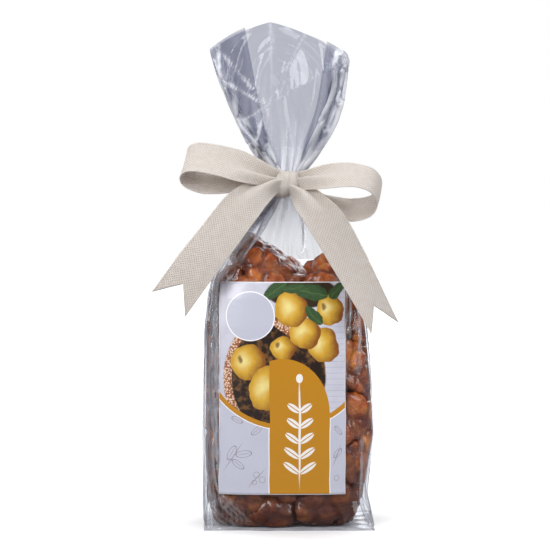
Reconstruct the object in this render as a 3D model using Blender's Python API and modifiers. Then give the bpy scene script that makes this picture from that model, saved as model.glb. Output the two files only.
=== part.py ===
"""A clear film bag of candied quince, tied with a woven ribbon bow and carrying a paper label.

Metres, +Z up. The origin is the centre of the bag's flat base, and the label faces -Y.
The pieces are the film bag, the label stuck on its front, the one length of ribbon that ties
its neck, and the lumps of candied quince packed inside it.
"""

import math

import bmesh
import bpy
import numpy as np
from mathutils import Vector

# Driving dimensions of the bag. Its open top slants, so it has a height at its left corner,
# at its peak and at its right corner.
BAG_HEIGHT = 0.244
RIM_X = (-0.0385, -0.0080, 0.0335)
RIM_HEIGHTS = (0.2365, BAG_HEIGHT, 0.2300)
RIM_SLANT_FROM = 0.1900
FILM_THICKNESS = 0.0003
FILM_COLUMNS = 44
NECK_HEIGHT = 0.166
NECK_RADIUS = 0.0055
NECK_PLEATS = 11

# The label, a flat rectangle of paper bent round the front of the bag.
LABEL_WIDTH = 0.061
LABEL_BOTTOM = 0.0175
LABEL_TOP = 0.1195
LABEL_CENTRE_X = -0.0025
LABEL_THICKNESS = 0.0002
LABEL_GAP = 0.0006
LABEL_COLUMNS = 16
LABEL_ROWS = 14

# The ribbon.
RIBBON_WIDTH = 0.020
RIBBON_THICKNESS = 0.0007
TAIL_NOTCH = 0.012
KNOT_CENTRE = Vector((-0.0005, -0.0125, 0.1665))
KNOT_SIZE = Vector((0.0068, 0.0052, 0.0064))
COLLAR_RADIUS = NECK_RADIUS + 0.0019
COLLAR_HALF_HEIGHT = 0.0038

# The candied quince. A lump's crease keeps its corners from rounding off altogether.
LUMP_COUNT = 40
LUMP_GAP = 0.0005
LUMP_CREASE = 0.30
SMALLEST_EDGE = 0.0012
WALL_GAP = 0.0009
SHOULDER_TOP = 0.150

# The pile is rounded off towards the base, and its top rises and falls across the bag and
# sinks towards the front and the back.
BASE_ROUNDING = 0.0070
BASE_ROUNDED_TO = 0.0200
PILE_TOP_X = (-0.040, -0.022, -0.012, 0.005, 0.016, 0.024, 0.032, 0.040)
PILE_TOP = (0.112, 0.130, 0.137, 0.126, 0.129, 0.119, 0.104, 0.085)
PILE_CROWN = 0.012
PILE_HALF_DEPTH = 0.026

# The lumps' centres are spread through points tried at random, and evened out in rounds.
LUMP_SEED = 5
POINTS_TRIED = 9000
EVENING_ROUNDS = 5

# Sections of the filled bag, from its base to its open top: height, centre x, centre y,
# half width, half depth, squareness (2 is an ellipse, more is a rounded rectangle) and
# depth of the pleats.
SECTIONS = (
    (0.0000, -0.0005, 0.0000, 0.0388, 0.0236, 6.0, 0.0),
    (0.0012, -0.0005, 0.0000, 0.0394, 0.0242, 5.5, 0.0),
    (0.0080, -0.0014, 0.0000, 0.0388, 0.0250, 4.6, 0.0),
    (0.0220, -0.0006, 0.0000, 0.0400, 0.0262, 3.9, 0.0),
    (0.0450, 0.0012, 0.0000, 0.0422, 0.0270, 3.6, 0.0),
    (0.0700, 0.0006, 0.0000, 0.0412, 0.0268, 3.6, 0.0),
    (0.0950, -0.0004, 0.0000, 0.0398, 0.0258, 3.5, 0.0),
    (0.1120, -0.0010, 0.0000, 0.0378, 0.0240, 3.3, 0.0),
    (0.1250, -0.0010, 0.0000, 0.0336, 0.0212, 2.9, 0.0),
    (0.1370, -0.0010, 0.0000, 0.0262, 0.0170, 2.5, 0.0002),
    (0.1480, -0.0006, 0.0000, 0.0168, 0.0122, 2.2, 0.0005),
    (0.1570, -0.0003, 0.0000, 0.0092, 0.0082, 2.0, 0.0008),
    (0.1620, 0.0000, 0.0000, 0.0062, 0.0060, 2.0, 0.0009),
    (NECK_HEIGHT, 0.0000, 0.0000, NECK_RADIUS, NECK_RADIUS, 2.0, 0.0009),
    (0.1700, 0.0000, 0.0000, 0.0060, 0.0058, 2.0, 0.0009),
    (0.1760, 0.0000, 0.0003, 0.0110, 0.0070, 2.0, 0.0008),
    (0.1840, -0.0005, 0.0006, 0.0205, 0.0085, 2.1, 0.0006),
    (0.1930, -0.0012, 0.0008, 0.0272, 0.0092, 2.3, 0.0003),
    (0.2080, -0.0016, 0.0010, 0.0300, 0.0092, 2.4, 0.0002),
    (0.2260, -0.0024, 0.0010, 0.0330, 0.0086, 2.4, 0.0),
    (BAG_HEIGHT, -0.0032, 0.0010, 0.0352, 0.0078, 2.4, 0.0),
)

# The ribbon's course: a point on its centreline, the direction of its width, and how much of
# its full width lies flat there, which is less where the knot gathers it.
LOOP_LEFT = (
    ((-0.0020, -0.0125, 0.1680), (0.10, 0.60, 0.75), 0.28),
    ((-0.0110, -0.0150, 0.1710), (0.12, 0.62, 0.75), 0.55),
    ((-0.0240, -0.0170, 0.1755), (0.14, 0.66, 0.72), 0.95),
    ((-0.0360, -0.0172, 0.1785), (0.15, 0.68, 0.71), 1.00),
    ((-0.0455, -0.0150, 0.1795), (0.16, 0.69, 0.70), 1.00),
    ((-0.0500, -0.0108, 0.1768), (0.16, 0.69, 0.70), 1.00),
    ((-0.0480, -0.0072, 0.1722), (0.14, 0.68, 0.71), 1.00),
    ((-0.0390, -0.0062, 0.1690), (0.12, 0.67, 0.72), 1.00),
    ((-0.0260, -0.0080, 0.1680), (0.10, 0.64, 0.74), 0.85),
    ((-0.0130, -0.0112, 0.1680), (0.08, 0.60, 0.76), 0.45),
    ((-0.0030, -0.0125, 0.1662), (0.05, 0.55, 0.80), 0.28),
)
LOOP_RIGHT = (
    ((0.0010, -0.0125, 0.1675), (0.05, 0.70, 0.65), 0.28),
    ((0.0100, -0.0150, 0.1688), (0.08, 0.76, 0.62), 0.55),
    ((0.0210, -0.0175, 0.1705), (0.11, 0.80, 0.58), 0.92),
    ((0.0320, -0.0180, 0.1708), (0.13, 0.82, 0.56), 1.00),
    ((0.0410, -0.0152, 0.1682), (0.15, 0.82, 0.55), 1.00),
    ((0.0450, -0.0100, 0.1620), (0.16, 0.82, 0.55), 1.00),
    ((0.0415, -0.0062, 0.1562), (0.14, 0.82, 0.55), 1.00),
    ((0.0320, -0.0055, 0.1540), (0.12, 0.82, 0.56), 1.00),
    ((0.0210, -0.0078, 0.1565), (0.10, 0.80, 0.60), 0.85),
    ((0.0110, -0.0112, 0.1610), (0.06, 0.74, 0.66), 0.48),
    ((0.0020, -0.0125, 0.1655), (0.03, 0.65, 0.75), 0.28),
)
TAIL_LEFT = (
    ((-0.0010, -0.0135, 0.1670), (0.35, -0.40, -0.85), 0.30),
    ((-0.0075, -0.0185, 0.1665), (0.50, -0.50, -0.70), 0.50),
    ((-0.0150, -0.0225, 0.1625), (0.66, -0.50, -0.56), 0.82),
    ((-0.0215, -0.0245, 0.1560), (0.78, -0.38, -0.50), 0.98),
    ((-0.0320, -0.0265, 0.1420), (0.82, -0.26, -0.50), 1.00),
    ((-0.0440, -0.0285, 0.1265), (0.81, -0.12, -0.56), 1.00),
    ((-0.0566, -0.0300, 0.1090), (0.80, 0.00, -0.60), 1.00),
)
TAIL_RIGHT = (
    ((0.0005, -0.0135, 0.1655), (0.60, 0.10, 0.78), 0.30),
    ((0.0065, -0.0185, 0.1630), (0.82, 0.18, 0.54), 0.55),
    ((0.0120, -0.0225, 0.1575), (0.90, 0.28, 0.34), 0.82),
    ((0.0180, -0.0245, 0.1500), (0.90, 0.32, 0.28), 0.98),
    ((0.0296, -0.0255, 0.1297), (0.82, 0.48, 0.30), 1.00),
    ((0.0400, -0.0262, 0.1105), (0.72, 0.62, 0.26), 1.00),
    ((0.0468, -0.0262, 0.0976), (0.69, 0.69, 0.22), 1.00),
)
STRIP_STEPS = 3  # rows of faces between two points of a ribbon's course
STRIP_COLUMNS = 4  # faces across the ribbon, an even number so that a tail can be notched

COLOURS = {
    "clear_film": ((0.88, 0.90, 0.94, 0.25), 0.08),
    "label_paper": ((0.86, 0.86, 0.90, 1.0), 0.45),
    "ribbon_cloth": ((0.80, 0.71, 0.62, 1.0), 0.85),
    "candied_quince": ((0.42, 0.12, 0.02, 1.0), 0.30),
}


def clear_scene():
    for obj in list(bpy.data.objects):
        bpy.data.objects.remove(obj, do_unlink=True)


def material(name):
    found = bpy.data.materials.get(name)
    if found:
        return found
    colour, roughness = COLOURS[name]
    made = bpy.data.materials.new(name)
    made.use_nodes = True
    shader = made.node_tree.nodes["Principled BSDF"]
    shader.inputs["Base Color"].default_value = colour
    shader.inputs["Alpha"].default_value = colour[3]
    shader.inputs["Roughness"].default_value = roughness
    shader.inputs["Metallic"].default_value = 0.0
    return made


def collection(name):
    made = bpy.data.collections.new(name)
    bpy.context.scene.collection.children.link(made)
    return made


def new_object(name, mesh, finish, into):
    mesh.materials.append(material(finish))
    obj = bpy.data.objects.new(name, mesh)
    into.objects.link(obj)
    return obj


def mesh_from(bm, name):
    mesh = bpy.data.meshes.new(name)
    bm.to_mesh(mesh)
    bm.free()
    return mesh


def catmull_rom(rows, count):
    """The rows of numbers read from a smooth curve through them, with count steps between two."""
    rows = np.array(rows, float)
    padded = np.vstack([2 * rows[0] - rows[1], rows, 2 * rows[-1] - rows[-2]])
    found = []
    for i in range(len(rows) - 1):
        a, b, c, d = padded[i : i + 4]
        for t in np.arange(count) / count:
            found.append(
                0.5
                * (
                    2 * b
                    + (c - a) * t
                    + (2 * a - 5 * b + 4 * c - d) * t**2
                    + (3 * b - a - 3 * c + d) * t**3
                )
            )
    found.append(rows[-1])
    return np.array(found)


def section_at(height):
    """The bag's section at a height: the columns of SECTIONS after the first, interpolated."""
    table = np.array(SECTIONS)
    return [np.interp(height, table[:, 0], table[:, k]) for k in range(1, table.shape[1])]


def ring(height, columns, inset=0.0):
    """Points evenly spaced round the bag at a height, from the middle of its back, over -X."""
    centre_x, centre_y, half_width, half_depth, squareness, pleat = section_at(height)
    angle = np.linspace(0.0, 2 * math.pi, 721)
    across, along = np.sin(angle), np.cos(angle)
    power = 2.0 / squareness
    x = -(half_width - inset) * np.sign(across) * np.abs(across) ** power
    y = (half_depth - inset) * np.sign(along) * np.abs(along) ** power
    gone = np.concatenate([[0.0], np.cumsum(np.hypot(np.diff(x), np.diff(y)))])
    share = np.arange(columns) / columns
    x = np.interp(share * gone[-1], gone, x)
    y = np.interp(share * gone[-1], gone, y)
    wave = 1 + pleat * np.cos(2 * math.pi * NECK_PLEATS * share) / np.hypot(x, y)
    x, y = x * wave + centre_x, y * wave + centre_y
    slant = max(0.0, (height - RIM_SLANT_FROM) / (BAG_HEIGHT - RIM_SLANT_FROM))
    z = height - slant * (BAG_HEIGHT - np.interp(x, RIM_X, RIM_HEIGHTS))
    return np.column_stack([x, y, z])


def front_point(height, from_middle, out):
    """The point out in front of the film, that far along its section from x = LABEL_CENTRE_X."""
    columns = 720
    points = ring(height, columns)
    middle = int(np.argmin(np.abs(points[:, 0] - LABEL_CENTRE_X) + (points[:, 1] > 0)))
    order = np.roll(np.arange(columns), columns // 2 - middle)
    points = points[order]
    gone = np.concatenate([[0.0], np.cumsum(np.linalg.norm(np.diff(points, axis=0), axis=1))])
    gone -= gone[columns // 2]
    spot = np.array([np.interp(from_middle, gone, points[:, k]) for k in range(3)])
    step = 0.0005
    ahead = np.array([np.interp(from_middle + step, gone, points[:, k]) for k in range(3)])
    along = (ahead - spot) / np.linalg.norm(ahead - spot)
    return spot + out * np.array([along[1], -along[0], 0.0])


def film_bag(into):
    """One tube of film, closed flat at its base, gathered at its neck and open at its top."""
    bm = bmesh.new()
    heights = [row[0] for row in SECTIONS]
    rows = []
    for height in heights:
        rows.append([bm.verts.new(point) for point in ring(height, FILM_COLUMNS)])
    for lower, upper in zip(rows, rows[1:]):
        for i in range(FILM_COLUMNS):
            j = (i + 1) % FILM_COLUMNS
            bm.faces.new((lower[i], lower[j], upper[j], upper[i]))
    bm.faces.new(reversed(rows[0]))
    bmesh.ops.recalc_face_normals(bm, faces=bm.faces)
    if min(bm.faces, key=lambda face: face.calc_center_median().z).normal.z > 0:
        bmesh.ops.reverse_faces(bm, faces=bm.faces)
    bag = new_object("film_bag", mesh_from(bm, "film_bag"), "clear_film", into)
    wall = bag.modifiers.new("film", "SOLIDIFY")
    wall.thickness = FILM_THICKNESS
    wall.offset = -1.0
    return bag


def label(into):
    """The paper label, bent to the section of the bag at each height."""
    bm = bmesh.new()
    rows = []
    for height in np.linspace(LABEL_BOTTOM, LABEL_TOP, LABEL_ROWS + 1):
        spots = np.linspace(-LABEL_WIDTH / 2, LABEL_WIDTH / 2, LABEL_COLUMNS + 1)
        rows.append([bm.verts.new(front_point(height, s, LABEL_GAP)) for s in spots])
    for lower, upper in zip(rows, rows[1:]):
        for i in range(LABEL_COLUMNS):
            bm.faces.new((lower[i], lower[i + 1], upper[i + 1], upper[i]))
    sheet = new_object("front_label", mesh_from(bm, "front_label"), "label_paper", into)
    paper = sheet.modifiers.new("paper", "SOLIDIFY")
    paper.thickness = LABEL_THICKNESS
    paper.offset = 1.0
    return sheet


def strip(name, course, into, notch=0.0):
    """A flat length of ribbon along its course, its far end cut to a swallowtail notch deep."""
    rows = [(*centre, *direction, flat) for centre, direction, flat in course]
    path = catmull_rom(rows, STRIP_STEPS)
    bm = bmesh.new()
    made = []
    for row in path:
        centre = Vector(row[:3])
        width = Vector(row[3:6]).normalized() * (row[6] * RIBBON_WIDTH / 2)
        shares = np.linspace(-1.0, 1.0, STRIP_COLUMNS + 1)
        made.append([bm.verts.new(centre + width * share) for share in shares])
    end = Vector(path[-1][:3] - path[-2][:3]).normalized()
    middle = STRIP_COLUMNS // 2
    for rank, back in ((-1, 1.0), (-2, 0.55), (-3, 0.2)):
        for i, vert in enumerate(made[rank]):
            vert.co -= end * notch * back * (1 - abs(i - middle) / middle)
    for first, second in zip(made, made[1:]):
        for i in range(STRIP_COLUMNS):
            bm.faces.new((first[i], first[i + 1], second[i + 1], second[i]))
    obj = new_object(name, mesh_from(bm, name), "ribbon_cloth", into)
    cloth = obj.modifiers.new("cloth", "SOLIDIFY")
    cloth.thickness = RIBBON_THICKNESS
    cloth.offset = 0.0
    return obj


def knot(into):
    """The knot, a rounded lump in front of the neck that the loops and tails come out of."""
    bm = bmesh.new()
    bmesh.ops.create_uvsphere(bm, u_segments=16, v_segments=10, radius=1.0)
    for vert in bm.verts:
        vert.co = KNOT_CENTRE + Vector(
            (vert.co.x * KNOT_SIZE.x, vert.co.y * KNOT_SIZE.y, vert.co.z * KNOT_SIZE.z)
        )
    return new_object("ribbon", mesh_from(bm, "ribbon"), "ribbon_cloth", into)


def collar(into):
    """The turn of ribbon round the neck, behind the knot."""
    bm = bmesh.new()
    corners = (
        (COLLAR_RADIUS, -COLLAR_HALF_HEIGHT),
        (COLLAR_RADIUS + 0.0010, -COLLAR_HALF_HEIGHT),
        (COLLAR_RADIUS + 0.0018, 0.0),
        (COLLAR_RADIUS + 0.0010, COLLAR_HALF_HEIGHT),
        (COLLAR_RADIUS, COLLAR_HALF_HEIGHT),
    )
    points = [bm.verts.new((radius, 0.0, NECK_HEIGHT + rise)) for radius, rise in corners]
    for i, point in enumerate(points):
        bm.edges.new((point, points[(i + 1) % len(points)]))
    bmesh.ops.spin(
        bm,
        geom=bm.verts[:] + bm.edges[:],
        angle=2 * math.pi,
        steps=28,
        axis=(0, 0, 1),
        use_merge=True,
    )
    bmesh.ops.remove_doubles(bm, verts=bm.verts, dist=0.00001)
    bmesh.ops.recalc_face_normals(bm, faces=bm.faces)
    return new_object("collar_turn", mesh_from(bm, "collar_turn"), "ribbon_cloth", into)


def ribbon(into, helpers):
    """The one length of ribbon: its knot joined with its turn round the neck, loops and tails."""
    whole = knot(into)
    pieces = [
        collar(helpers),
        strip("loop_left", LOOP_LEFT, helpers),
        strip("loop_right", LOOP_RIGHT, helpers),
        strip("tail_left", TAIL_LEFT, helpers, TAIL_NOTCH),
        strip("tail_right", TAIL_RIGHT, helpers, TAIL_NOTCH),
    ]
    for piece in pieces:
        piece.hide_render = True
        piece.display_type = "WIRE"
        joined = whole.modifiers.new(piece.name, "BOOLEAN")
        joined.operation = "UNION"
        joined.solver = "EXACT"
        joined.object = piece
    return whole


def wall_planes():
    """Planes (point, outward normal) that bound the room inside the film, below its shoulder."""
    columns = 32
    heights = [row[0] for row in SECTIONS if row[0] < SHOULDER_TOP]
    rings = []
    for height in heights:
        low = max(0.0, 1 - height / BASE_ROUNDED_TO)
        inset = FILM_THICKNESS + WALL_GAP + BASE_ROUNDING * low**2
        rings.append(ring(height, columns, inset))
    planes = [(Vector((0, 0, FILM_THICKNESS + WALL_GAP)), Vector((0, 0, -1)))]
    for lower, upper in zip(rings, rings[1:]):
        for i in range(columns):
            a, b = Vector(lower[i]), Vector(lower[(i + 1) % columns])
            c = Vector(upper[i])
            out = (b - a).cross(c - a).normalized()
            middle = (a + b + c) / 3
            if out.dot(Vector((middle.x, middle.y, 0))) < 0:
                out = -out
            planes.append((middle, out))
    return planes


def pile_top(x, y):
    """The height of the top of the pile, which sinks towards the front and the back."""
    return np.interp(x, PILE_TOP_X, PILE_TOP) - PILE_CROWN * (y / PILE_HALF_DEPTH) ** 2


def pile_top_plane(centre):
    """The plane (point, outward normal) that the top of the pile has above a lump's centre."""
    step = 0.002
    x, y = centre.x, centre.y
    slope_x = (pile_top(x + step, y) - pile_top(x - step, y)) / (2 * step)
    slope_y = (pile_top(x, y + step) - pile_top(x, y - step)) / (2 * step)
    return Vector((x, y, pile_top(x, y))), Vector((-slope_x, -slope_y, 1)).normalized()


def lump_centres():
    """Centres of the lumps, spread evenly through the room that the pile fills."""
    random = np.random.default_rng(LUMP_SEED)
    points = []
    while len(points) < POINTS_TRIED:
        x, y, z = random.uniform((-0.043, -0.028, 0.001), (0.044, 0.028, max(PILE_TOP)))
        centre_x, centre_y, half_width, half_depth, squareness, _ = section_at(z)
        reach = abs((x - centre_x) / half_width) ** squareness
        reach += abs((y - centre_y) / half_depth) ** squareness
        if reach < 1 and z < pile_top(x, y):
            points.append((x, y, z))
    points = np.array(points)
    centres = points[random.choice(len(points), LUMP_COUNT, replace=False)]
    for _ in range(EVENING_ROUNDS):
        away = np.linalg.norm(points[:, None] - centres[None], axis=2)
        nearest = away.argmin(axis=1)
        centres = np.array([points[nearest == k].mean(axis=0) for k in range(LUMP_COUNT)])
    return centres


def lump(name, centre, others, planes, into):
    """One lump of candied quince: the room nearer to its centre than to any other, rounded."""
    bm = bmesh.new()
    bmesh.ops.create_cube(bm, size=BAG_HEIGHT)
    bmesh.ops.translate(bm, verts=bm.verts, vec=centre)
    cuts = [pile_top_plane(centre), *planes]
    for other in others:
        away = other - centre
        cuts.append((centre + away / 2 - away.normalized() * LUMP_GAP / 2, away.normalized()))
    for point, out in cuts:
        if all((vert.co - point).dot(out) < 0 for vert in bm.verts):
            continue
        found = bmesh.ops.bisect_plane(
            bm,
            geom=bm.verts[:] + bm.edges[:] + bm.faces[:],
            plane_co=point,
            plane_no=out,
            clear_outer=True,
        )
        rim = [item for item in found["geom_cut"] if isinstance(item, bmesh.types.BMEdge)]
        if rim:
            bmesh.ops.contextual_create(bm, geom=rim)
    bmesh.ops.dissolve_degenerate(bm, dist=SMALLEST_EDGE, edges=bm.edges)
    bmesh.ops.dissolve_limit(
        bm, angle_limit=math.radians(14), verts=bm.verts, edges=bm.edges, delimit=set()
    )
    bmesh.ops.recalc_face_normals(bm, faces=bm.faces)
    crease = bm.edges.layers.float.new("crease_edge")
    for edge in bm.edges:
        edge[crease] = LUMP_CREASE
    obj = new_object(name, mesh_from(bm, name), "candied_quince", into)
    obj.data.shade_smooth()
    rounded = obj.modifiers.new("rounded", "SUBSURF")
    rounded.levels = 1
    rounded.render_levels = 1
    return obj


def candied_quince(into):
    centres = [Vector(centre) for centre in lump_centres()]
    planes = wall_planes()
    centres.sort(key=lambda centre: (round(centre.z, 3), centre.x))
    for number, centre in enumerate(centres, 1):
        others = [other for other in centres if other is not centre]
        lump(f"candied_quince_{number:02d}", centre, others, planes, into)


def main():
    clear_scene()
    parts = collection("candied_quince_bag")
    helpers = collection("ribbon_lengths")
    film_bag(parts)
    label(parts)
    ribbon(parts, helpers)
    candied_quince(parts)


main()
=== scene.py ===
"""The looks of a clear film bag of candied quince, tied with a woven ribbon and labelled.

Metres, +Z up, the label facing -Y. The film is a gusseted tube that is gathered into the tie by
a small position-based solver. The quince, the ribbon and the label are fine meshes that stand
where the CAD solids stand.
"""

import math

import bmesh
import bpy
import numpy as np
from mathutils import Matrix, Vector, noise
from mathutils.bvhtree import BVHTree
from mathutils.geometry import delaunay_2d_cdt


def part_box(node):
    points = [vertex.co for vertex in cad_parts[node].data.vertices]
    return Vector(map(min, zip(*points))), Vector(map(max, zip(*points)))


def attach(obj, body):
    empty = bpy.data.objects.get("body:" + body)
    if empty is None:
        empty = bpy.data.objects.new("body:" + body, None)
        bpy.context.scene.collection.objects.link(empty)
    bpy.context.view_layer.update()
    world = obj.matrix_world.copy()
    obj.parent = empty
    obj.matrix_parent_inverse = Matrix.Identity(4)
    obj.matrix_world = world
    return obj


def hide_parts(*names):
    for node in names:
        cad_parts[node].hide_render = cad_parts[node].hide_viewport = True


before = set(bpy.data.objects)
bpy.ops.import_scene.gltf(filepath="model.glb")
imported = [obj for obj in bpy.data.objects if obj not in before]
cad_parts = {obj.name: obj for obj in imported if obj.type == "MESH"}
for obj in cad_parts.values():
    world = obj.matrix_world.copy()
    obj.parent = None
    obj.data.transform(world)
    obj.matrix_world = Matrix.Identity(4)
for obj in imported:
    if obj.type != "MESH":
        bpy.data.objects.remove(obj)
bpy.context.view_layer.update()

BODY = "root"

# ---------------------------------------------------------------- places taken from the frame

QUINCE_NODES = sorted(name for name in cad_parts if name.startswith("candied_quince"))
BAG_LOW, BAG_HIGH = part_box("film_bag")
LABEL_LOW, LABEL_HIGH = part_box("front_label")

# ---------------------------------------------------------------- the film

PANEL_WIDTH = 0.085
GUSSET_WIDTH = 0.053
FILM_ROUND = 2 * (PANEL_WIDTH + GUSSET_WIDTH)
FILM_LENGTH = 0.2505
BASE_HALF_WIDTH = 0.0415
BASE_HALF_DEPTH = 0.0262
BASE_RINGS = 10
TIE_HEIGHT = 0.1665
FILM_CENTRE = (BAG_LOW.x + BAG_HIGH.x) / 2
TIE_HALF_HEIGHT = 0.0032
TIE_RADIUS = 0.0056
SHOULDER_TOP = 0.150
# How stiffly the film resists being folded tight, from 0 to 1.
BEND = 0.06
# How square the bag's sections are, and how far out in them the quince and the film come.
CORNER_POWER = 4.5
QUINCE_REACH = 0.975
FILM_REACH = 0.995
# The solver's first grid, and its steps on that grid and on the one twice as fine.
FIRST_COLUMNS, FIRST_ROWS = 104, 100
QUICK_STEPS, FULL_STEPS = (260, 160), (520, 260)
CRUMPLE_SPOTS = 20
CRUMPLE_DEPTH = 0.0065
# How much lower than its peak the open top is cut, at each x.
RIM_X = (-0.042, -0.008, 0.042)
RIM_DROP = (0.0075, 0.0, 0.0165)
# The sides of the open top at each height.
FLARE_HEIGHTS = (0.170, 0.180, 0.190, 0.208, 0.240)
FLARE_LEFT = (-0.0090, -0.0180, -0.0262, -0.0325, -0.0395)
FLARE_RIGHT = (0.0090, 0.0197, 0.0250, 0.0282, 0.0328)

# ---------------------------------------------------------------- small helpers


def new_mesh(name, points, faces, smooth=True):
    """An object in the scene made of points and faces."""
    mesh = bpy.data.meshes.new(name)
    mesh.from_pydata([tuple(p) for p in points], [], [tuple(f) for f in faces])
    mesh.update()
    if smooth:
        mesh.shade_smooth()
    obj = bpy.data.objects.new(name, mesh)
    bpy.context.scene.collection.objects.link(obj)
    return obj


def grid_faces(rows, columns, closed):
    """The quads of a grid of rows x columns points, numbered row by row."""
    faces = []
    last = columns if closed else columns - 1
    for r in range(rows - 1):
        for c in range(last):
            d = (c + 1) % columns
            faces.append((r * columns + c, r * columns + d, (r + 1) * columns + d, (r + 1) * columns + c))
    return faces


def set_places(obj, name, places):
    """Keeps each point's place on the flat cloth or paper, in millimetres, as a UV map."""
    layer = obj.data.uv_layers.new(name=name)
    index = np.empty(len(obj.data.loops), int)
    obj.data.loops.foreach_get("vertex_index", index)
    layer.data.foreach_set("uv", (np.array(places)[index] * 1000.0).ravel())


def smoothstep(t):
    t = np.clip(t, 0.0, 1.0)
    return t * t * (3 - 2 * t)


def new_material(name):
    material = bpy.data.materials.new(name)
    material.use_nodes = True
    material.node_tree.nodes.clear()
    return material


class Nodes:
    """Short ways to add and link shader nodes in one material."""

    def __init__(self, tree):
        self.tree = tree

    def add(self, kind, **settings):
        node = self.tree.nodes.new(kind)
        for key, value in settings.items():
            setattr(node, key, value)
        return node

    def link(self, value, socket):
        """Sets a socket to a number, colour or vector, or links another socket to it."""
        if isinstance(value, bpy.types.NodeSocket):
            self.tree.links.new(value, socket)
        elif value is not None:
            socket.default_value = value

    def math(self, operation, a, b=None, c=None, clamp=False):
        node = self.add("ShaderNodeMath", operation=operation, use_clamp=clamp)
        for value, socket in zip((a, b, c), node.inputs):
            self.link(value, socket)
        return node.outputs[0]

    def mix(self, factor, a, b):
        """Colours a and b mixed by factor."""
        node = self.add("ShaderNodeMix", data_type="RGBA")
        self.link(factor, node.inputs[0])
        self.link(a, node.inputs[6])
        self.link(b, node.inputs[7])
        return node.outputs[2]

    def ramp(self, value, stops):
        """Value (0 to 1) turned to a colour by (place, colour) stops."""
        node = self.add("ShaderNodeValToRGB")
        elements = node.color_ramp.elements
        while len(elements) < len(stops):
            elements.new(0.5)
        for element, (place, colour) in zip(elements, stops):
            element.position = place
            element.color = (*colour, 1.0)
        self.link(value, node.inputs[0])
        return node.outputs[0]

    def step(self, value, low, high):
        """0 below low and 1 above high, smooth between them."""
        node = self.add("ShaderNodeMapRange", interpolation_type="SMOOTHSTEP")
        self.link(value, node.inputs[0])
        self.link(low, node.inputs[1])
        self.link(high, node.inputs[2])
        return node.outputs[0]

    def noise(self, vector, scale, detail=2.0, roughness=0.5, distortion=0.0):
        node = self.add("ShaderNodeTexNoise")
        self.link(vector, node.inputs["Vector"])
        node.inputs["Scale"].default_value = scale
        node.inputs["Detail"].default_value = detail
        node.inputs["Roughness"].default_value = roughness
        node.inputs["Distortion"].default_value = distortion
        return node.outputs["Fac"]

    def wobble(self, vector, scale, amount):
        """The vector moved about by up to half that amount."""
        node = self.add("ShaderNodeTexNoise")
        self.link(vector, node.inputs["Vector"])
        node.inputs["Scale"].default_value = scale
        moved = self.vector("MULTIPLY_ADD", node.outputs["Color"], (2 * amount, 2 * amount, 0), vector)
        return self.vector("SUBTRACT", moved, (amount, amount, 0))

    def mix_shaders(self, factor, a, b):
        node = self.add("ShaderNodeMixShader")
        for value, socket in zip((factor, a, b), node.inputs):
            self.link(value, socket)
        return node.outputs[0]

    def vector(self, operation, a, b=None, c=None):
        node = self.add("ShaderNodeVectorMath", operation=operation)
        for value, socket in zip((a, b, c), node.inputs):
            self.link(value, socket)
        return node.outputs["Value" if operation == "LENGTH" else "Vector"]

    def split(self, vector):
        """The x, y and z of a vector."""
        node = self.add("ShaderNodeSeparateXYZ")
        self.link(vector, node.inputs[0])
        return node.outputs

    def times(self, a, b):
        return self.math("MULTIPLY", a, b)

    def voronoi(self, vector, scale, feature="F1", output="Distance", randomness=1.0):
        node = self.add("ShaderNodeTexVoronoi", feature=feature)
        self.link(vector, node.inputs["Vector"])
        node.inputs["Scale"].default_value = scale
        node.inputs["Randomness"].default_value = randomness
        return node.outputs[output]

    def bump(self, height, strength, distance, normal=None):
        node = self.add("ShaderNodeBump")
        node.inputs["Strength"].default_value = strength
        node.inputs["Distance"].default_value = distance
        self.link(height, node.inputs["Height"])
        self.link(normal, node.inputs["Normal"])
        return node.outputs[0]

    def coords(self):
        return self.add("ShaderNodeTexCoord").outputs["Object"]

    def attribute(self, name):
        return self.add("ShaderNodeAttribute", attribute_name=name).outputs["Fac"]

    def shader(self, **values):
        """A Principled BSDF; a value is a number, a colour or a socket."""
        node = self.add("ShaderNodeBsdfPrincipled")
        for key, value in values.items():
            self.link(value, node.inputs[key.replace("_", " ")])
        return node.outputs[0]

    def output(self, shader):
        self.link(shader, self.add("ShaderNodeOutputMaterial").inputs["Surface"])


# ---------------------------------------------------------------- the candied quince

CHUNK_FOLD = 0.0015
CHUNK_GRAIN = 0.0005
CHUNK_SWELL = 0.0018
CHUNK_STRETCH = 1.10


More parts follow.
